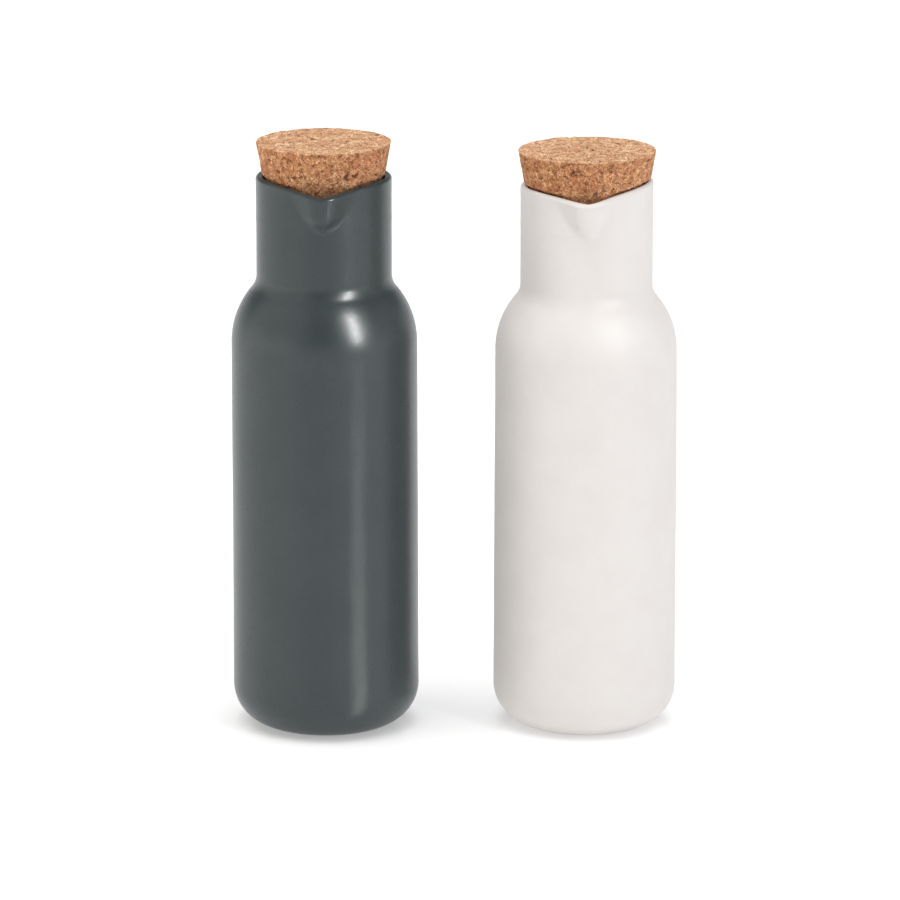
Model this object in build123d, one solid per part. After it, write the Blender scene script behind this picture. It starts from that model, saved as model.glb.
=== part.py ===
from build123d import *
from math import acos, atan2, cos, pi, radians, sin, sqrt
import os

# A cruet set: two stoneware bottles, one for oil and one for vinegar, each with a pinched
# pouring beak and a tapered cork stopper.  Millimetres, +Z up, beaks towards -Y.  The origin
# is on the table, at the middle of the set.

# Bottle, as thrown for the larger grey one.  The white one is the same shape, a little smaller.
BODY_RADIUS = 32.0
BODY_LEAN = 0.4             # radius lost up the wall, from the foot to the shoulder
NECK_RADIUS = 23.0
NECK_START = 158.0          # where the hollow of the shoulder runs out into the straight neck
SHOULDER_ROUND = 28.5       # radius of the domed shoulder, in profile
NECK_HOLLOW = 7.9           # radius of the hollow between shoulder and neck
FOOT_ROUND = 13.8           # radius of the turn from wall to foot
WALL = 2.6
FLOOR_THICKNESS = 4.5
RECESS_RADIUS = 14.3        # hollow under the foot, which leaves a ring to stand on
RECESS_DEPTH = 1.2
RECESS_SLOPE = 1.0
LIP_ROUND = 1.15
SPARE = 1.5                 # height of clay above the rim before the rim is cut

# Beak: the front of the lip is drawn out to a ridge, which swells quickly at its foot and
# more slowly above.
BEAK_HEIGHT = 16.4
BEAK_REACH = 5.5            # how far the ridge stands out from the neck, at rim height
BEAK_SWELL = 0.9            # power of the height by which the reach grows
BEAK_RIDGE_ROUND = 2.0
BEAK_GROOVE_ROUND = 0.5
BEAK_START = 0.02           # the ridge's reach where it begins
BEAK_SECTIONS = 6
DIP_HALF_WIDTH = 17.5
DIP_SLOPE = 0.15            # fall of the rim for each millimetre towards the tip of the beak
DIP_TIP_ROUND = 3.0
DIP_END_ROUND = 14.0
DIP_BACK = 4.5              # the dip is cut only in front of this distance from the axis

# Each bottle and its stopper.
GREY_SCALE = 1.0
WHITE_SCALE = 0.98
GREY_RIM_HEIGHT = 192.2
WHITE_RIM_HEIGHT = 189.8
GREY_RIM_TILT = 0.0
WHITE_RIM_TILT = 2.4        # degrees: this rim stands a little higher on the right
GREY_STOPPER_RADIUS = 22.95
WHITE_STOPPER_RADIUS = 23.45
GREY_STOPPER_PROUD = 11.7   # height of the stopper's top above the rim
WHITE_STOPPER_PROUD = 11.1
GREY_STOPPER_TAPER = 0.18   # radius lost per millimetre, above the rim
WHITE_STOPPER_TAPER = 0.177
STOPPER_LENGTH = 28.0
STOPPER_TIP_TAPER = 0.19
STOPPER_TOP_EDGE = 0.5
STOPPER_TIP_EDGE = 1.0
STOPPER_GAP = 0.3           # clearance between cork and lip
AXIS_SPACING = 89.2

# The set's box is centred on the origin, so the larger bottle stands a little nearer to it.
SIZE_DIFFERENCE = BODY_RADIUS * (GREY_SCALE - WHITE_SCALE)
GREY_X = -(AXIS_SPACING - SIZE_DIFFERENCE) / 2
WHITE_X = GREY_X + AXIS_SPACING


def arc(centre, radius, start, end):
    """Draw a round arc about a centre, from one angle to the other."""
    points = []
    for angle in (start, (start + end) / 2, end):
        points.append((centre[0] + radius * cos(angle), centre[1] + radius * sin(angle)))
    ThreePointArc(*points)


def flask(scale, inset, floor_z, top_z):
    """A solid of revolution in the bottle's outline, drawn in by inset all round."""
    body = scale * BODY_RADIUS - inset
    body_top = body - scale * BODY_LEAN
    neck = scale * NECK_RADIUS - inset
    shoulder = scale * SHOULDER_ROUND - inset
    hollow = scale * NECK_HOLLOW + inset
    foot = scale * FOOT_ROUND - inset
    neck_z = scale * NECK_START
    reach = shoulder + hollow
    across = neck + hollow - (body_top - shoulder)
    shoulder_z = neck_z - sqrt(reach**2 - across**2)
    turn = atan2(neck_z - shoulder_z, across)
    with BuildPart() as solid:
        with BuildSketch(Plane.XZ):
            with BuildLine():
                Line((0, floor_z), (body - foot, floor_z))
                arc((body - foot, floor_z + foot), foot, -pi / 2, 0)
                Line((body, floor_z + foot), (body_top, shoulder_z))
                arc((body_top - shoulder, shoulder_z), shoulder, 0, turn)
                arc((neck + hollow, neck_z), hollow, pi + turn, pi)
                Polyline((neck, neck_z), (neck, top_z), (0, top_z), (0, floor_z))
            make_face()
        revolve(axis=Axis.Z)
    return solid.part


def collar_section(neck, reach, tip, z):
    """Plan of the neck at one height: its circle, run out to a rounded ridge in front."""
    tip_centre = neck + reach - tip
    spread = acos((neck - tip) / tip_centre)
    side = Vector(sin(spread), -cos(spread))
    neck_right = side * neck
    tip_right = side * tip + Vector(0, -tip_centre)
    neck_left = Vector(-neck_right.X, neck_right.Y)
    tip_left = Vector(-tip_right.X, tip_right.Y)
    with BuildSketch(Plane.XY.offset(z)) as section:
        with BuildLine():
            ThreePointArc(neck_left, (0, neck), neck_right)
            Line(neck_right, tip_right)
            ThreePointArc(tip_right, (0, -tip_centre - tip), tip_left)
            Line(tip_left, neck_left)
        make_face()
    return section.sketch.face()


def collar(scale, inset, rim, tip):
    """The top of the neck, where the front is drawn out into the beak."""
    neck = scale * NECK_RADIUS - inset
    foot = rim - scale * BEAK_HEIGHT
    height = scale * BEAK_HEIGHT + SPARE
    sections = []
    for step in range(BEAK_SECTIONS):
        # sections crowd towards the foot of the beak, where its width changes fastest
        rise = height * (step / (BEAK_SECTIONS - 1))**2
        reach = BEAK_START + BEAK_REACH * (rise / BEAK_HEIGHT)**BEAK_SWELL
        sections.append(collar_section(neck, reach, tip, foot + rise))
    return loft(sections)


def rim_cutter(scale, rim, tilt):
    """Everything above the rim: level behind, dipping to the tip of the beak in front."""
    half = scale * DIP_HALF_WIDTH
    dip = half * DIP_SLOPE
    far = scale * BODY_RADIUS * 1.5
    with BuildPart() as cutter:
        with BuildSketch(Plane.XY.offset(rim)):
            Rectangle(2 * far, 2 * far)
        extrude(amount=2 * SPARE)
        with BuildSketch(Plane.XZ.offset(DIP_BACK)):
            with BuildLine():
                FilletPolyline((-far, rim), (-half, rim), (0, rim - dip), (half, rim), (far, rim),
                               radius=[DIP_END_ROUND, DIP_TIP_ROUND, DIP_END_ROUND])
                Polyline((far, rim), (far, rim + SPARE), (-far, rim + SPARE), (-far, rim))
            make_face()
        extrude(amount=far)
    centre = Vector(0, 0, rim)
    return cutter.part.moved(Location(centre) * Location((0, 0, 0), (0, -tilt, 0)) * Location(-centre))


def bottle(scale, rim, tilt):
    """One hollow bottle with its beak, its rounded lip and the recess under its foot."""
    collar_z = rim - scale * BEAK_HEIGHT
    outside = flask(scale, 0, 0, collar_z) + collar(scale, 0, rim, BEAK_RIDGE_ROUND)
    inside = flask(scale, WALL, FLOOR_THICKNESS, collar_z) + collar(scale, WALL, rim, BEAK_GROOVE_ROUND)
    shell = outside - inside - rim_cutter(scale, rim, tilt)
    # the rim's edges run round the lip; the straight ones only cross it and stay as they are
    lip_floor = rim - scale * BEAK_HEIGHT / 2
    lip_edges = shell.edges().filter_by(lambda edge: edge.bounding_box().min.Z > lip_floor)
    shell = shell.fillet(LIP_ROUND, lip_edges.filter_by(GeomType.LINE, reverse=True))
    recess_radius = scale * RECESS_RADIUS
    with BuildPart() as recess:
        with BuildSketch(Plane.XY):
            Circle(recess_radius + RECESS_SLOPE)
        with BuildSketch(Plane.XY.offset(RECESS_DEPTH)):
            Circle(recess_radius)
        loft()
    return shell - recess.part


def stopper(scale, rim, tilt, top_radius, proud, taper):
    """A tapered cork, squeezed to a waist where the lip grips it."""
    mouth = scale * NECK_RADIUS - WALL
    raised = (mouth + LIP_ROUND) * sin(radians(tilt))
    waist = mouth - STOPPER_GAP
    round_x = mouth + LIP_ROUND
    round_z = rim + raised - LIP_ROUND
    clear = LIP_ROUND + STOPPER_GAP
    top_z = rim + proud
    tip_z = top_z - STOPPER_LENGTH
    shelf = top_radius - taper * proud
    shelf_z = round_z + sqrt(clear**2 - (round_x - shelf)**2)
    tip_radius = waist - STOPPER_TIP_TAPER * (round_z - tip_z)
    with BuildPart() as cork:
        with BuildSketch(Plane.XZ):
            with BuildLine():
                Polyline((0, top_z), (top_radius - STOPPER_TOP_EDGE, top_z),
                         (top_radius, top_z - STOPPER_TOP_EDGE), (shelf, shelf_z))
                arc((round_x, round_z), clear, atan2(shelf_z - round_z, shelf - round_x), pi)
                Polyline((waist, round_z), (tip_radius, tip_z + STOPPER_TIP_EDGE),
                         (tip_radius - STOPPER_TIP_EDGE, tip_z), (0, tip_z), (0, top_z))
            make_face()
        revolve(axis=Axis.Z)
    return cork.part


os.makedirs("parts", exist_ok=True)
pieces = {
    "grey_bottle": Pos(GREY_X, 0, 0) * bottle(GREY_SCALE, GREY_RIM_HEIGHT, GREY_RIM_TILT),
    "grey_stopper": Pos(GREY_X, 0, 0) * stopper(GREY_SCALE, GREY_RIM_HEIGHT, GREY_RIM_TILT,
                                                GREY_STOPPER_RADIUS, GREY_STOPPER_PROUD,
                                                GREY_STOPPER_TAPER),
    "white_bottle": Pos(WHITE_X, 0, 0) * bottle(WHITE_SCALE, WHITE_RIM_HEIGHT, WHITE_RIM_TILT),
    "white_stopper": Pos(WHITE_X, 0, 0) * stopper(WHITE_SCALE, WHITE_RIM_HEIGHT, WHITE_RIM_TILT,
                                                  WHITE_STOPPER_RADIUS, WHITE_STOPPER_PROUD,
                                                  WHITE_STOPPER_TAPER),
}
for name, piece in pieces.items():
    export_step(piece, f"parts/{name}.step")
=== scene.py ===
from math import atan2, cos, pi, radians, sin, sqrt, tan

import bpy
import numpy as np
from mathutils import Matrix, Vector


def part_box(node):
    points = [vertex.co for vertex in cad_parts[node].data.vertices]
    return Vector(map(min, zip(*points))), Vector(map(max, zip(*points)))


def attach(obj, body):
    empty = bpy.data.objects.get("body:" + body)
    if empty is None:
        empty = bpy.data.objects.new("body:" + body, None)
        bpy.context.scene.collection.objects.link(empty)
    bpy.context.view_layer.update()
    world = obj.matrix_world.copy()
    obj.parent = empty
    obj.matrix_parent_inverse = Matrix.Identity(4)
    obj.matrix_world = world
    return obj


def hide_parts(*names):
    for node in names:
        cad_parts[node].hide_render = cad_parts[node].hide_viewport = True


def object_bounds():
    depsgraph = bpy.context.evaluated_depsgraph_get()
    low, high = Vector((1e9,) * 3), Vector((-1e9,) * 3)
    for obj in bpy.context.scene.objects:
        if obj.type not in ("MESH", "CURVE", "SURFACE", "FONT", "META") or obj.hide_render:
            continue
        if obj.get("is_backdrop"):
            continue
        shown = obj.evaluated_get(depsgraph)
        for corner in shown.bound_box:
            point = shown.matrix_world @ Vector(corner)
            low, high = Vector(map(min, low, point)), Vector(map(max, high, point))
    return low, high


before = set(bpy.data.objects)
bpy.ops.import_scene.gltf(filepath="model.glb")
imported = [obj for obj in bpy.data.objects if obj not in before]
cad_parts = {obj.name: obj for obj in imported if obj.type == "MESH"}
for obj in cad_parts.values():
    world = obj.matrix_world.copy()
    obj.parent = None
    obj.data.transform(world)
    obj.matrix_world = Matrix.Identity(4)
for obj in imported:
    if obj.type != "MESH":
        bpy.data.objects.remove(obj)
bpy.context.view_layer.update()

# Two stoneware bottles with pinched beaks and cork stoppers.  Metres, +Z up, beaks towards -Y.
MM = 0.001

# Bottle proportions, in millimetres on the larger bottle: the frame gives each one its scale.
BODY_RADIUS = 32.0
BODY_LEAN = 0.4
NECK_RADIUS = 23.0
NECK_START = 158.0
SHOULDER_ROUND = 28.5
NECK_HOLLOW = 7.9
FOOT_ROUND = 13.8
WALL = 2.6
FLOOR_THICKNESS = 4.5
RECESS_RADIUS = 14.3
RECESS_DEPTH = 1.2
RECESS_SLOPE = 1.0
LIP_ROUND = 1.15
BEAK_HEIGHT = 16.4
BEAK_REACH = 5.5
BEAK_HALF_WIDTH = 12.6
BEAK_SPREAD = 0.6            # power of the height by which the beak widens
BEAK_HEEL = 7.0              # height over which the foot of the ridge swells out
BEAK_HEEL_SHARE = 0.45       # share of the reach that is gained in the heel
BEAK_RIDGE_ROUND = 8.5
BEAK_GROOVE_ROUND = 0.5
BEAK_ROUND_AT_FOOT = 0.45    # the ridge's rounding at its foot, as a share of that at the rim
BEAK_WIDEST_ROUND = 0.9      # most rounding of the ridge, as a share of the beak's half width
BEAK_FOLD_SOFTNESS = 0.45
BEAK_FOOT_SOFTNESS = 1.0
COLLAR_MARGIN = 1.5          # the neck is built as collar from a little below the beak
DIP_HALF_WIDTH = 17.5
DIP_SLOPE = 0.15
DIP_TIP_SOFTNESS = 0.6
DIP_END_SOFTNESS = 1.6
DIP_FRONT = 0.3              # cosine of the angle from the front at which the dip has faded out
UNEVENNESS = 0.05

# Stopper shape, in millimetres.
STOPPER_TIP_TAPER = 0.19
STOPPER_TIP_EDGE = 1.0
STOPPER_WAIST_GAP = 0.3
STOPPER_EDGE = 0.45
STOPPER_GAP = 0.7            # clearance where the cork passes the lip

# Mesh fineness.
SEGMENTS = 256
FRONT_CROWDING = 0.6         # how far the bottle's columns are drawn towards the beak
CORK_GRID = 120
CORK_ROW = 0.33

# Camera: degrees, millimetres of lens, and metres.
CAMERA_LENS = 233.5
CAMERA_DISTANCE = 2.0
CAMERA_PITCH = 14.35
CAMERA_AIM = 0.4703          # share of the set's height
CAMERA_ASIDE = -1.48 * MM

# Soft bright patches of the world: direction, cosines of inner and outer edge, and light.
WORLD_PATCHES = (
    ((-1.0, -0.35, 0.45), 0.90, 0.60, (1.0, 0.95, 0.88, 1)),
    ((0.9, -0.55, 0.25), 0.95, 0.62, (0.2, 0.2, 0.2, 1)),
)


# ---------------------------------------------------------------- shape of a bottle

class Jar:
    """One bottle's own numbers, in millimetres: its size, its place and the set of its rim."""

    def __init__(self, node, rim, tilt):
        low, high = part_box(node)
        self.axis_x = (low.x + high.x) / 2
        self.scale = (high.x - low.x) / 2 / (BODY_RADIUS * MM)
        self.rim = rim
        self.tilt = tilt
        self.beak_z = rim - self.scale * BEAK_HEIGHT


def outline(jar, inset, floor_z):
    """Profile of the body, from the floor's edge up to the foot of the beak, drawn in by inset."""
    scale = jar.scale
    body = scale * BODY_RADIUS - inset
    neck = scale * NECK_RADIUS - inset
    shoulder = scale * SHOULDER_ROUND - inset
    hollow = scale * NECK_HOLLOW + inset
    foot = scale * FOOT_ROUND - inset
    neck_z = scale * NECK_START
    body_top = body - scale * BODY_LEAN
    reach = shoulder + hollow
    across = neck + hollow - (body_top - shoulder)
    shoulder_z = neck_z - sqrt(reach**2 - across**2)
    turn = atan2(neck_z - shoulder_z, across)
    points = []
    for a in np.linspace(-pi / 2, 0, 16):
        points.append((body - foot + foot * cos(a), floor_z + foot + foot * sin(a)))
    for share in np.linspace(0, 1, 26)[1:]:
        z = floor_z + foot + (shoulder_z - floor_z - foot) * share
        points.append((body + (body_top - body) * share, z))
    for a in np.linspace(0, turn, 26)[1:]:
        points.append((body_top - shoulder + shoulder * cos(a), shoulder_z + shoulder * sin(a)))
    for a in np.linspace(pi + turn, pi, 14)[1:]:
        points.append((neck + hollow + hollow * cos(a), neck_z + hollow * sin(a)))
    for z in np.linspace(neck_z, jar.beak_z - COLLAR_MARGIN, 14)[1:]:
        points.append((neck, z))
    return points


def plan_radius(angle, neck, reach, half_width, tip):
    """Radius of the neck's plan round its axis: a circle, folded out in front to a round ridge."""
    fold = np.arcsin(half_width / NECK_RADIUS)
    tip = np.minimum(tip, BEAK_WIDEST_ROUND * half_width)
    centre = neck + reach - tip
    inward = neck * np.cos(fold) - centre
    aside = neck * np.sin(fold)
    flank = np.arctan2(aside, inward) - np.arccos(np.minimum(tip / np.hypot(aside, inward), 1))
    off = np.abs(angle)
    tip_end = np.arctan2(tip * np.sin(flank), centre + tip * np.cos(flank))
    on_tip = centre * np.cos(off) + np.sqrt(np.maximum(tip**2 - (centre * np.sin(off))**2, 0))
    on_flank = neck * np.cos(flank - fold) / np.cos(flank - np.minimum(off, flank))
    beak = np.where(off < tip_end, on_tip, on_flank)
    softness = BEAK_FOLD_SOFTNESS * np.minimum(reach, 1)
    return (neck + beak + np.sqrt((neck - beak)**2 + softness**2)) / 2


def rim_height(angle, jar):
    """Height of the rim round the mouth: level behind, dipping to the beak, and a little tilted."""
    across = jar.scale * (NECK_RADIUS - WALL / 2) * np.sin(angle)
    inside = jar.scale * DIP_HALF_WIDTH - np.sqrt(across**2 + DIP_TIP_SOFTNESS**2)
    dip = DIP_SLOPE * (inside + np.sqrt(inside**2 + DIP_END_SOFTNESS**2)) / 2
    front = np.clip((np.cos(angle) - DIP_FRONT) / DIP_FRONT, 0, 1)
    return jar.rim + across * tan(radians(jar.tilt)) - dip * front


def wall_radius(angle, z, jar, inset, tip):
    """Radius of the neck's wall at each angle and height in the collar.

    The ridge swells out quickly at its heel, then leans steadily; its flanks widen as it rises.
    """
    rise = z - jar.beak_z
    settled = np.clip((rise + COLLAR_MARGIN) / (2 * COLLAR_MARGIN), 0.01, 1)
    height = settled * (rise + np.sqrt(rise**2 + BEAK_FOOT_SOFTNESS**2)) / 2
    heel = np.clip(height / BEAK_HEEL, 0, 1)
    share = height / BEAK_HEIGHT
    swell = heel**2 * (3 - 2 * heel)
    reach = BEAK_REACH * (BEAK_HEEL_SHARE * swell + (1 - BEAK_HEEL_SHARE) * share)
    half_width = BEAK_HALF_WIDTH * share**BEAK_SPREAD
    rounding = tip * (BEAK_ROUND_AT_FOOT + (1 - BEAK_ROUND_AT_FOOT) * share)
    return plan_radius(angle, jar.scale * NECK_RADIUS - inset, reach, half_width, rounding)


def lip_section(angle, jar):
    """Outer and inner radius where the lip starts to round, and that height."""
    start = rim_height(angle, jar) - LIP_ROUND
    outer = wall_radius(angle, start, jar, 0, BEAK_RIDGE_ROUND)
    inner = wall_radius(angle, start, jar, WALL, BEAK_GROOVE_ROUND)
    return outer, inner, start


def bottle_rings(jar):
    """The whole skin as rings of (radius, height) arrays, from under the foot to the floor inside."""
    scale = jar.scale
    turns = np.linspace(-pi, pi, SEGMENTS, endpoint=False)
    angle = turns - FRONT_CROWDING * np.sin(turns)
    ones = np.ones(SEGMENTS)
    collar_z = jar.beak_z - COLLAR_MARGIN
    outer, inner, start = lip_section(angle, jar)
    rings = []

    recess = scale * RECESS_RADIUS
    foot_edge = scale * (BODY_RADIUS - FOOT_ROUND)
    for r in np.linspace(0, recess, 6)[1:]:
        rings.append((r * ones, RECESS_DEPTH * ones))
    for share in (0.15, 0.5, 0.85, 1.0):
        rings.append(((recess + RECESS_SLOPE * share) * ones, RECESS_DEPTH * (1 - share) * ones))
    rings.append(((recess + RECESS_SLOPE + foot_edge) / 2 * ones, 0 * ones))
    for r, z in outline(jar, 0, 0):
        rings.append((r * ones, z * ones))
    for share in np.linspace(0, 1, 44)[1:]:
        z = collar_z + (start - collar_z) * share
        rings.append((wall_radius(angle, z, jar, 0, BEAK_RIDGE_ROUND), z))
    for a in np.linspace(0, pi, 15)[1:-1]:
        rings.append((outer + (inner - outer) * (1 - cos(a)) / 2, start + LIP_ROUND * sin(a)))
    for share in np.linspace(1, 0, 26):
        z = collar_z + (start - collar_z) * share
        rings.append((wall_radius(angle, z, jar, WALL, BEAK_GROOVE_ROUND), z))
    for r, z in reversed(outline(jar, WALL, FLOOR_THICKNESS)[:-1]):
        rings.append((r * ones, z * ones))
    for r in np.linspace(foot_edge, 0, 6)[1:-1]:
        rings.append((r * ones, FLOOR_THICKNESS * ones))
    return angle, rings


def mesh_from(name, points, faces):
    """A smooth-shaded object from points in metres and faces."""
    mesh = bpy.data.meshes.new(name)
    mesh.from_pydata([tuple(p) for p in points], [], faces)
    mesh.validate()
    mesh.shade_smooth()
    piece = bpy.data.objects.new(name, mesh)
    bpy.context.scene.collection.objects.link(piece)
    return piece


def build_bottle(name, jar, seed):
    """One bottle's skin, closed inside and out, with the slight unevenness of fired clay."""
    angle, rings = bottle_rings(jar)
    points = []
    for r, z in rings:
        swell = np.sin(2 * angle + seed + z / 31) + 0.6 * np.sin(3 * angle - seed + z / 19)
        ripple = 0.5 * np.sin(z / 7.3 + seed) * np.sin(angle + z / 41)
        grown = r + UNEVENNESS * (swell + ripple) * np.clip(r / 10, 0, 1)
        points += list(zip(grown * np.sin(angle), -grown * np.cos(angle), z))
    under = len(points)
    points.append((0, 0, RECESS_DEPTH))
    points.append((0, 0, FLOOR_THICKNESS))
    faces = []
    for ring in range(len(rings) - 1):
        for i in range(SEGMENTS):
            j = (i + 1) % SEGMENTS
            a = ring * SEGMENTS
            b = a + SEGMENTS
            faces.append((a + i, a + j, b + j, b + i))
    last = (len(rings) - 1) * SEGMENTS
    for i in range(SEGMENTS):
        j = (i + 1) % SEGMENTS
        faces.append((under, j, i))
        faces.append((under + 1, last + i, last + j))
    placed = np.array(points) * MM + np.array([jar.axis_x, 0, 0])
    return mesh_from(name, placed, faces)


# ---------------------------------------------------------------- shape of a stopper

def cork_limit(angle, z, jar):
    """Largest radius the cork may have at each angle and height, clear of the mouth."""
    outer, inner, start = lip_section(angle, jar)
    middle = (outer + inner) / 2
    half = (outer - inner) / 2 + STOPPER_GAP
    height = LIP_ROUND + STOPPER_GAP
    rise = (z - start) / height
    over = middle - half * np.sqrt(np.clip(1 - rise**2, 0, 1))
    below = wall_radius(angle, np.minimum(z, start), jar, WALL, BEAK_GROOVE_ROUND) - STOPPER_GAP
    return np.where(rise > 1, 1e3, np.where(rise > 0, over, below))


def build_stopper(name, node, jar, taper):
    """A tapered plug: fine grids over its two ends, joined by rings down its side."""
    low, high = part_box(node)
    top_radius = (high.x - low.x) / 2 / MM
    top_z = high.z / MM
    rim_z = jar.rim
    tip_z = low.z / MM
    waist = jar.scale * NECK_RADIUS - WALL - STOPPER_WAIST_GAP
    tip_radius = waist - STOPPER_TIP_TAPER * (rim_z - 1 - tip_z)

    n = CORK_GRID
    ticks = np.linspace(-1, 1, n + 1)
    edge = [(i, 0) for i in range(n)] + [(n, j) for j in range(n)]
    edge += [(n - i, n) for i in range(n)] + [(0, n - j) for j in range(n)]
    points = []
    index = {}

    def disc(key, radius, z):
        for i, u in enumerate(ticks):
            for j, v in enumerate(ticks):
                index[key, i, j] = len(points)
                points.append((radius * u * sqrt(1 - v * v / 2), radius * v * sqrt(1 - u * u / 2), z))

    disc("top", top_radius - STOPPER_EDGE, top_z)
    disc("tip", tip_radius - STOPPER_TIP_EDGE, tip_z)
    border = np.array([points[index["top", i, j]] for i, j in edge])
    angle = np.arctan2(border[:, 0], -border[:, 1])
    count = len(edge)

    heights = [top_z - STOPPER_EDGE * (1 - cos(a)) for a in (pi / 6, pi / 3, pi / 2)]
    side = len(heights)
    heights += list(np.arange(top_z - STOPPER_EDGE, rim_z - 4.5, -CORK_ROW)[1:])
    heights += list(np.linspace(rim_z - 5, tip_z + STOPPER_TIP_EDGE, 16))
    rows = [[index["top", i, j] for i, j in edge]]
    for k, z in enumerate(heights):
        above = top_radius - taper * (top_z - z)
        at_rim = top_radius - taper * (top_z - rim_z)
        below = at_rim + (tip_radius - at_rim) * (rim_z - z) / (rim_z - tip_z)
        radius = np.full(count, above if z > rim_z else below)
        if k < side:
            a = (k + 1) * pi / 6
            radius = np.full(count, top_radius - STOPPER_EDGE + STOPPER_EDGE * sin(a))
        # held inside the limit, with a soft turn where the two meet
        gap = cork_limit(angle, z, jar) - radius
        radius = radius - (-gap + np.sqrt(gap**2 + 0.01)) / 2 * (gap < 3)
        first = len(points)
        points += list(zip(radius * np.sin(angle), -radius * np.cos(angle), np.full(count, z)))
        rows.append([first + i for i in range(count)])
    rows.append([index["tip", i, j] for i, j in edge])

    faces = []
    for i in range(n):
        for j in range(n):
            a, b = index["top", i, j], index["top", i + 1, j]
            c, d = index["top", i + 1, j + 1], index["top", i, j + 1]
            faces.append((a, b, c, d))
            a, b = index["tip", i, j], index["tip", i + 1, j]
            c, d = index["tip", i + 1, j + 1], index["tip", i, j + 1]
            faces.append((d, c, b, a))
    for upper, lower in zip(rows, rows[1:]):
        for i in range(count):
            j = (i + 1) % count
            faces.append((upper[j], upper[i], lower[i], lower[j]))
    placed = np.array(points) * MM + np.array([jar.axis_x, 0, 0])
    return mesh_from(name, placed, faces)


# ---------------------------------------------------------------- node helpers

class Tree:
    """Shorthand for wiring a shader or geometry node tree."""

    def __init__(self, tree):
        self.tree = tree

    def put(self, target, value):
        if isinstance(value, bpy.types.NodeSocket):
            self.tree.links.new(value, target)
        elif value is not None:
            target.default_value = value

    def node(self, kind, inputs=None, **settings):
        made = self.tree.nodes.new(kind)
        for key, value in settings.items():
            setattr(made, key, value)
        for key, value in (inputs or {}).items():
            self.put(made.inputs[key], value)
        return made

    def math(self, operation, a, b=None, clamp=False):
        made = self.node("ShaderNodeMath", {0: a}, operation=operation, use_clamp=clamp)
        self.put(made.inputs[1], b)
        return made.outputs[0]

    def vector(self, operation, a, b):
        return self.node("ShaderNodeVectorMath", {0: a, 1: b}, operation=operation).outputs[0]

    def scaled(self, a, factor):
        return self.node("ShaderNodeVectorMath", {0: a, "Scale": factor}, operation="SCALE").outputs[0]

    def noise(self, place, scale, detail=2.0, rough=0.5):
        inputs = {"Vector": place, "Scale": scale, "Detail": detail, "Roughness": rough}
        return self.node("ShaderNodeTexNoise", inputs)

    def voronoi(self, place, scale, feature="F1", randomness=1.0):
        inputs = {"Vector": place, "Scale": scale, "Randomness": randomness}
        return self.node("ShaderNodeTexVoronoi", inputs, feature=feature)

    def remap(self, value, low, high, to_low=0.0, to_high=1.0):
        inputs = {"Value": value, "From Min": low, "From Max": high, "To Min": to_low, "To Max": to_high}
        return self.node("ShaderNodeMapRange", inputs, interpolation_type="SMOOTHSTEP").outputs[0]

    def mix(self, factor, a, b, blend="MIX"):
        made = self.node("ShaderNodeMix", data_type="RGBA", blend_type=blend)
        self.put(made.inputs[0], factor)
        self.put(made.inputs[6], a)
        self.put(made.inputs[7], b)
        return made.outputs[2]

    def ramp(self, value, stops):
        made = self.node("ShaderNodeValToRGB", {0: value})
        ramp = made.color_ramp
        while len(ramp.elements) < len(stops):
            ramp.elements.new(0.5)
        for element, (place, colour) in zip(ramp.elements, stops):
            element.position = place
            element.color = (*colour, 1)
        return made.outputs[0]


def new_material(name):
    """A material, with its tree, its shader and the place of each point on the object."""
    material = bpy.data.materials.new(name)
    material.use_nodes = True
    tree = Tree(material.node_tree)
    shader = material.node_tree.nodes["Principled BSDF"]
    place = tree.node("ShaderNodeTexCoord").outputs["Object"]
    return material, tree, shader, place


# ---------------------------------------------------------------- cork

PER_MM = 1 / MM      # a texture scale of one cell to a millimetre


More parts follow.
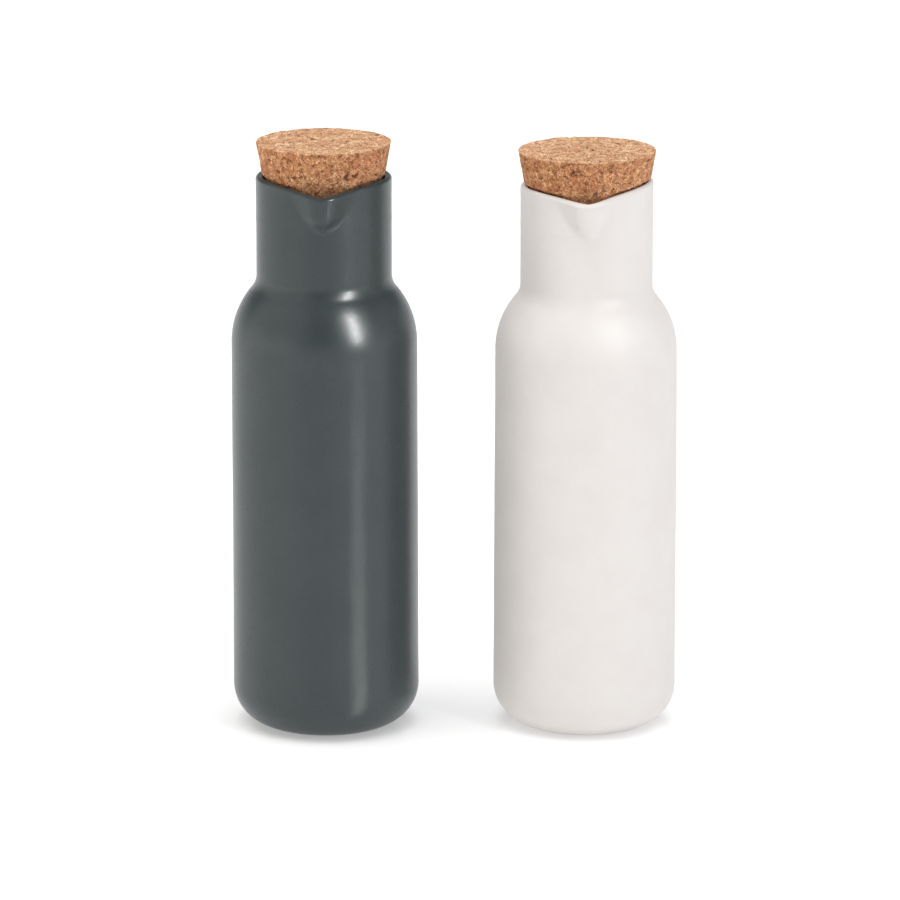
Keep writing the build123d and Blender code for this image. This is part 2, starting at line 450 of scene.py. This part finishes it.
def cork_pattern(t, place, offset):
    """The granules of pressed cork, wired the same way for its relief and for its colour."""
    shifted = t.vector("ADD", place, tuple(v * MM for v in offset))
    wander = t.vector("SUBTRACT", t.noise(shifted, 0.45 * PER_MM, 2.0).outputs["Color"], (0.5, 0.5, 0.5))
    bent = t.vector("ADD", shifted, t.scaled(wander, 2.2 * MM))
    large = t.voronoi(bent, 0.42 * PER_MM)
    small = t.voronoi(bent, 1.0 * PER_MM)
    seam = t.voronoi(bent, 0.42 * PER_MM, "DISTANCE_TO_EDGE").outputs["Distance"]
    fine_seam = t.voronoi(bent, 1.0 * PER_MM, "DISTANCE_TO_EDGE").outputs["Distance"]
    large_tone = t.node("ShaderNodeSeparateXYZ", {0: large.outputs["Color"]})
    small_tone = t.node("ShaderNodeSeparateXYZ", {0: small.outputs["Color"]})
    crumble = t.noise(shifted, 1.1 * PER_MM, 3.0, 0.6).outputs[0]
    fine = t.noise(shifted, 2.6 * PER_MM, 3.0, 0.7).outputs[0]
    blotch = t.noise(shifted, 0.17 * PER_MM, 3.0, 0.6).outputs[0]
    # a few granules have fallen out, and leave pits with ragged edges
    missing = t.math("LESS_THAN", large_tone.outputs[0], 0.05)
    depth = t.remap(t.math("ADD", seam, t.math("MULTIPLY", crumble, 0.25)), 0.16, 0.34)
    small_missing = t.math("LESS_THAN", small_tone.outputs[0], 0.045)
    small_pit = t.math("MULTIPLY", small_missing, t.remap(fine_seam, 0.08, 0.24))
    # short cracks: thin wandering lines, broken up
    line = t.math("ABSOLUTE", t.math("SUBTRACT", t.noise(shifted, 0.62 * PER_MM, 3.0, 0.6).outputs[0], 0.5))
    broken = t.remap(t.noise(shifted, 0.5 * PER_MM, 2.0).outputs[0], 0.44, 0.54)
    crack = t.math("MULTIPLY", t.remap(line, 0.040, 0.012), broken)
    return {
        "tone": large_tone.outputs[1], "tint": large_tone.outputs[2],
        "small_tone": small_tone.outputs[1], "small_tint": small_tone.outputs[2],
        "seam": t.remap(seam, 0.0, 0.10, 1.0, 0.0), "fine_seam": t.remap(fine_seam, 0.0, 0.16, 1.0, 0.0),
        "pit": t.math("MAXIMUM", t.math("MULTIPLY", missing, depth), small_pit),
        "crack": crack, "crumble": crumble, "fine": fine, "blotch": blotch,
    }


def cork_relief(piece, offset):
    """Press the granules, seams and pits into the stopper's mesh, and keep the result."""
    group = bpy.data.node_groups.new(piece.name + "_relief", "GeometryNodeTree")
    group.interface.new_socket("Geometry", in_out="INPUT", socket_type="NodeSocketGeometry")
    group.interface.new_socket("Geometry", in_out="OUTPUT", socket_type="NodeSocketGeometry")
    t = Tree(group)
    source = t.node("NodeGroupInput")
    place = t.node("GeometryNodeInputPosition").outputs[0]
    p = cork_pattern(t, place, offset)
    height = t.math("MULTIPLY", t.math("SUBTRACT", p["tone"], 0.5), 0.10)
    height = t.math("ADD", height, t.math("MULTIPLY", t.math("SUBTRACT", p["small_tone"], 0.5), 0.07))
    height = t.math("SUBTRACT", height, t.math("MULTIPLY", p["seam"], 0.10))
    height = t.math("SUBTRACT", height, t.math("MULTIPLY", p["fine_seam"], 0.05))
    height = t.math("SUBTRACT", height, t.math("MULTIPLY", p["pit"], 0.50))
    height = t.math("SUBTRACT", height, t.math("MULTIPLY", p["crack"], 0.22))
    height = t.math("ADD", height, t.math("MULTIPLY", t.math("SUBTRACT", p["blotch"], 0.55), 0.7))
    height = t.math("ADD", height, t.math("MULTIPLY", t.math("SUBTRACT", p["crumble"], 0.6), 0.16))
    normal = t.node("GeometryNodeInputNormal").outputs[0]
    moved = t.node("GeometryNodeSetPosition", {
        "Geometry": source.outputs[0],
        "Offset": t.scaled(normal, t.math("MULTIPLY", height, MM)),
    })
    out = t.node("NodeGroupOutput")
    t.tree.links.new(moved.outputs[0], out.inputs[0])
    modifier = piece.modifiers.new("relief", "NODES")
    modifier.node_group = group
    graph = bpy.context.evaluated_depsgraph_get()
    shaped = bpy.data.meshes.new_from_object(piece.evaluated_get(graph))
    piece.modifiers.clear()
    piece.data = shaped


def cork_material(name, offset):
    """Pressed cork: granules of several browns, dark seams and bark specks, with pits and cracks painted
    near-black as painted shade; the side is painted darker and redder than the top, partly the cut side's
    own colour and partly painted shade.
    """
    material, t, shader, place = new_material(name)
    p = cork_pattern(t, place, offset)
    blend = t.math("ADD", t.math("MULTIPLY", p["tone"], 0.45), t.math("MULTIPLY", p["small_tone"], 0.55))
    colour = t.ramp(blend, [(0.10, (0.50, 0.27, 0.14)), (0.35, (0.66, 0.40, 0.22)),
                            (0.60, (0.77, 0.51, 0.30)), (0.85, (0.87, 0.63, 0.41)),
                            (0.97, (0.95, 0.74, 0.52))])
    colour = t.mix(t.remap(p["blotch"], 0.45, 0.70, 0.0, 0.45), colour, (0.55, 0.24, 0.12, 1))
    colour = t.mix(t.remap(p["tint"], 0.60, 1.0, 0.0, 0.35), colour, (0.58, 0.25, 0.13, 1))
    fleck = t.ramp(t.remap(p["fine"], 0.34, 0.60), [(0.0, (0.30, 0.18, 0.11)), (1.0, (1.18, 1.18, 1.18))])
    colour = t.mix(0.72, colour, fleck, "MULTIPLY")
    lines = t.math("MAXIMUM", t.math("MULTIPLY", p["seam"], 0.50), t.math("MULTIPLY", p["fine_seam"], 0.50))
    colour = t.mix(lines, colour, (0.24, 0.09, 0.04, 1))
    bark = t.remap(p["small_tint"], 0.955, 0.985, 0.0, 0.8)
    # Painted shade: the pits and cracks are painted near-black, standing for the shade in these hollows.
    # The bark specks are the cork's own dark colour.
    dark = t.math("MAXIMUM", t.math("MAXIMUM", bark, p["crack"]), p["pit"])
    colour = t.mix(t.math("MULTIPLY", dark, 0.92), colour, (0.095, 0.038, 0.018, 1))
    # Painted shade: the side is multiplied darker and redder than the top. This stands in for the light
    # from above and the granules' self-shadowing, as well as the cut side's own deeper colour against the
    # sanded top.
    upward = t.node("ShaderNodeSeparateXYZ", {0: t.node("ShaderNodeTexCoord").outputs["Normal"]}).outputs[2]
    side = t.mix(1.0, colour, (0.90, 0.73, 0.60, 1), "MULTIPLY")
    colour = t.mix(t.remap(upward, 0.35, 0.8), side, colour)
    t.put(shader.inputs["Base Color"], colour)
    t.put(shader.inputs["Roughness"], t.remap(p["fine"], 0.2, 0.8, 0.72, 0.92))
    shader.inputs["Specular IOR Level"].default_value = 0.25
    height = t.math("SUBTRACT", t.math("MULTIPLY", p["fine"], 0.6), t.math("MULTIPLY", lines, 0.5))
    bump = t.node("ShaderNodeBump", {"Strength": 0.6, "Distance": 0.12 * MM, "Height": height})
    t.put(shader.inputs["Normal"], bump.outputs[0])
    return material


# ---------------------------------------------------------------- glazes

def glaze_material(name, colour, thin_colour, rough, gloss, speckle):
    """A satin stoneware glaze: mottled, with fine specks and a faint orange-peel surface."""
    material, t, shader, place = new_material(name)
    cloud = t.remap(t.noise(place, 0.055 * PER_MM, 4.0, 0.6).outputs[0], 0.3, 0.7)
    grain = t.noise(place, 1.3 * PER_MM, 4.0, 0.7).outputs[0]
    base = t.mix(cloud, colour, thin_colour)
    dark, light = ([min(1, factor * c) for c in colour[:3]] + [1] for factor in (0.5, 1.5))
    base = t.mix(t.remap(grain, 0.54, 0.72, 0.0, speckle), base, dark)
    base = t.mix(t.remap(grain, 0.46, 0.28, 0.0, speckle), base, light)
    t.put(shader.inputs["Base Color"], base)
    t.put(shader.inputs["Roughness"], t.remap(grain, 0.3, 0.7, rough - 0.03, rough + 0.03))
    shader.inputs["Specular IOR Level"].default_value = gloss
    peel = t.noise(place, 0.5 * PER_MM, 3.0, 0.6).outputs[0]
    height = t.math("ADD", peel, t.math("MULTIPLY", grain, 0.35))
    bump = t.node("ShaderNodeBump", {"Strength": 0.25, "Distance": 0.05 * MM, "Height": height})
    t.put(shader.inputs["Normal"], bump.outputs[0])
    return material


def clay_material(name):
    """The bare fired clay of the ring that the bottle stands on."""
    material, t, shader, place = new_material(name)
    grit = t.noise(place, 0.9 * PER_MM, 5.0, 0.7).outputs[0]
    t.put(shader.inputs["Base Color"], t.ramp(grit, [(0.3, (0.42, 0.36, 0.29)), (0.7, (0.62, 0.55, 0.46))]))
    t.put(shader.inputs["Roughness"], t.remap(grit, 0.3, 0.7, 0.8, 0.95))
    bump = t.node("ShaderNodeBump", {"Strength": 0.4, "Distance": 0.1 * MM, "Height": grit})
    t.put(shader.inputs["Normal"], bump.outputs[0])
    return material


def floor_material(name):
    """A glossy white light table, lit a little from below."""
    material, t, shader, place = new_material(name)
    wash = t.noise(place, 3.0, 2.0).outputs[0]
    t.put(shader.inputs["Base Color"], t.ramp(wash, [(0.3, (0.76, 0.76, 0.76)), (0.7, (0.79, 0.79, 0.79))]))
    shader.inputs["Roughness"].default_value = 0.16
    shader.inputs["Emission Color"].default_value = (1, 1, 1, 1)
    shader.inputs["Emission Strength"].default_value = 0.32
    return material


def bare_foot(piece, jar, clay):
    """Leave the flat ring under the foot unglazed."""
    piece.data.materials.append(clay)
    inner = jar.scale * RECESS_RADIUS * MM
    outer = jar.scale * (BODY_RADIUS - FOOT_ROUND * 0.86) * MM
    for face in piece.data.polygons:
        away = sqrt((face.center.x - jar.axis_x)**2 + face.center.y**2)
        if face.center.z < 0.35 * MM and inner < away < outer:
            face.material_index = 1


# ---------------------------------------------------------------- the set

sets = {
    "grey": {"rim": 192.2, "tilt": 0.0, "taper": 0.18, "seed": 0.4, "offset": (3.0, 11.0, 7.0),
             "glaze": ((0.027, 0.037, 0.040, 1), (0.032, 0.043, 0.046, 1), 0.30, 0.42, 0.60)},
    "white": {"rim": 189.8, "tilt": 2.4, "taper": 0.177, "seed": 2.1, "offset": (51.0, 27.0, 31.0),
              "glaze": ((0.635, 0.605, 0.59, 1), (0.655, 0.63, 0.613, 1), 0.5, 0.25, 0.04)},
}
clay = clay_material("bare_clay")
for colour, s in sets.items():
    jar = Jar(colour + "_bottle", s["rim"], s["tilt"])
    skin = build_bottle(colour + "_glazed_bottle", jar, s["seed"])
    skin.data.materials.append(glaze_material(colour + "_glaze", *s["glaze"]))
    bare_foot(skin, jar, clay)
    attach(skin, colour + "_bottle")
    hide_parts(colour + "_bottle")
    plug = build_stopper(colour + "_cork_stopper", colour + "_stopper", jar, s["taper"])
    cork_relief(plug, s["offset"])
    plug.data.materials.append(cork_material(colour + "_cork", s["offset"]))
    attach(plug, colour + "_stopper")
    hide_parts(colour + "_stopper")


# ---------------------------------------------------------------- floor, light and camera

def build_floor():
    """The table, a hair below the feet."""
    bpy.ops.mesh.primitive_circle_add(vertices=96, radius=6, fill_type="NGON", location=(0, 0, -0.05 * MM))
    floor = bpy.context.object
    floor.name = "floor"
    floor.data.materials.append(floor_material("floor_white"))
    floor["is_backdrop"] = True


def softbox(name, place, target, width, height, power):
    """A rectangular lamp at a place, turned towards a target."""
    light = bpy.data.lights.new(name, "AREA")
    light.shape = "RECTANGLE"
    light.size = width
    light.size_y = height
    light.energy = power
    lamp = bpy.data.objects.new(name, light)
    lamp.location = place
    lamp.rotation_euler = (Vector(target) - Vector(place)).to_track_quat("-Z", "Y").to_euler()
    bpy.context.scene.collection.objects.link(lamp)
    return lamp


def overhead_light():
    """Even light from straight above, which whitens the table without showing in the glaze."""
    light = bpy.data.lights.new("overhead", "SUN")
    light.energy = 3.1
    light.angle = radians(70)
    lamp = bpy.data.objects.new("overhead", light)
    lamp.visible_glossy = False
    bpy.context.scene.collection.objects.link(lamp)


def build_world():
    """Pale to a little above the horizon and dim overhead, with soft patches at both sides."""
    world = bpy.data.worlds.new("studio")
    world.use_nodes = True
    t = Tree(world.node_tree)
    out = world.node_tree.nodes["Background"]
    toward = t.node("ShaderNodeTexCoord").outputs["Generated"]
    up = t.node("ShaderNodeSeparateXYZ", {0: toward}).outputs[2]
    colour = t.mix(t.remap(up, 0.07, 0.30), (0.88, 0.88, 0.88, 1), (0.15, 0.155, 0.16, 1))
    for place, inner, outer, tint in WORLD_PATCHES:
        along = t.node("ShaderNodeVectorMath", {0: toward, 1: Vector(place).normalized()},
                       operation="DOT_PRODUCT")
        glow = t.remap(along.outputs["Value"], outer, inner)
        colour = t.mix(glow, colour, tint, "ADD")
    t.put(out.inputs["Color"], colour)
    out.inputs["Strength"].default_value = 1.0
    bpy.context.scene.world = world


def build_camera():
    """Look down a little at the set from far in front, through a long lens."""
    low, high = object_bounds()
    middle = (low + high) / 2
    data = bpy.data.cameras.new("camera")
    data.sensor_width = 36
    data.lens = CAMERA_LENS
    camera = bpy.data.objects.new("camera", data)
    target = Vector((middle.x + CAMERA_ASIDE, 0, high.z * CAMERA_AIM))
    pitch = radians(CAMERA_PITCH)
    camera.location = target + CAMERA_DISTANCE * Vector((0, -cos(pitch), sin(pitch)))
    camera.rotation_euler = (target - camera.location).to_track_quat("-Z", "Y").to_euler()
    bpy.context.scene.collection.objects.link(camera)
    bpy.context.scene.camera = camera


bpy.context.scene.view_settings.view_transform = "Standard"
build_world()
build_floor()
softbox("key", (0.92, -1.03, 0.90), (0.0, 0, 0.13), 0.10, 1.1, 5.0)
softbox("glint", (0.93, -1.04, 0.90), (0.0, 0, 0.13), 0.20, 1.1, 38.0).visible_diffuse = False
softbox("side", (1.05, -0.30, 0.32), (0.0, 0, 0.1), 1.0, 0.6, 0.7)
overhead_light()
build_camera()
